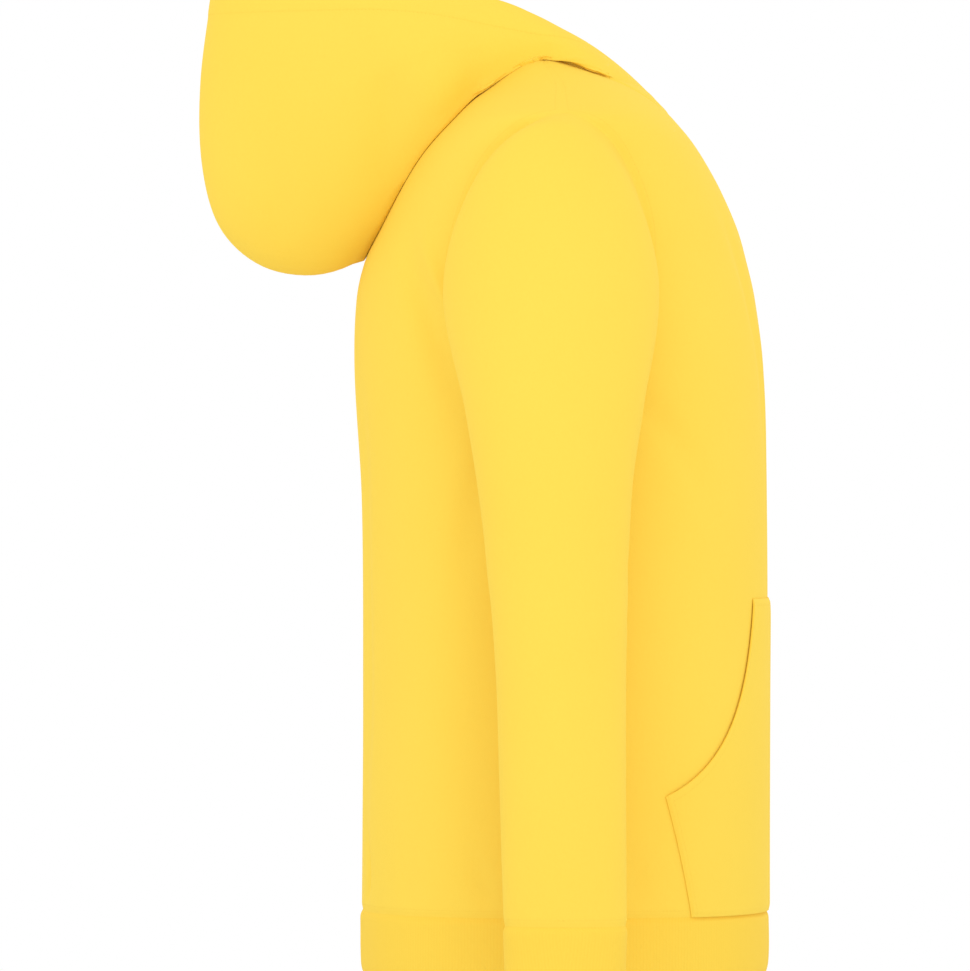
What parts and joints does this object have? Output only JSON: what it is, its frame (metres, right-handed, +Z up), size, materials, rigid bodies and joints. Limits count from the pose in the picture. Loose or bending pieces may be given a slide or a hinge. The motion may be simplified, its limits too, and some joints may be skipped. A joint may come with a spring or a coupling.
{
  "type": "hoodie",
  "caption": "Plain pullover hoodie filled out as if worn, with a kangaroo pocket, ribbed hem band and cuffs, and its hood down at the back.",
  "frame": {"origin": "midway between the two neck points, where the shoulder seams meet the neckline and the garment is held up", "axes": "+Z up along the body, -Y the way the wearer faces, +X the wearer's left"},
  "size_m": [0.616, 0.4362, 0.7641],
  "materials": {
    "fleece": "matte brushed fleece",
    "rib": "matte rib knit"
  },
  "bodies": {
    "root": {"front": "fleece", "back": "fleece", "pocket": "fleece", "sleeve_left": "fleece", "sleeve_right": "fleece", "hood_left": "fleece", "hood_right": "fleece", "hem_band": "rib", "cuff_left": "rib", "cuff_right": "rib"}
  },
  "joints": []
}
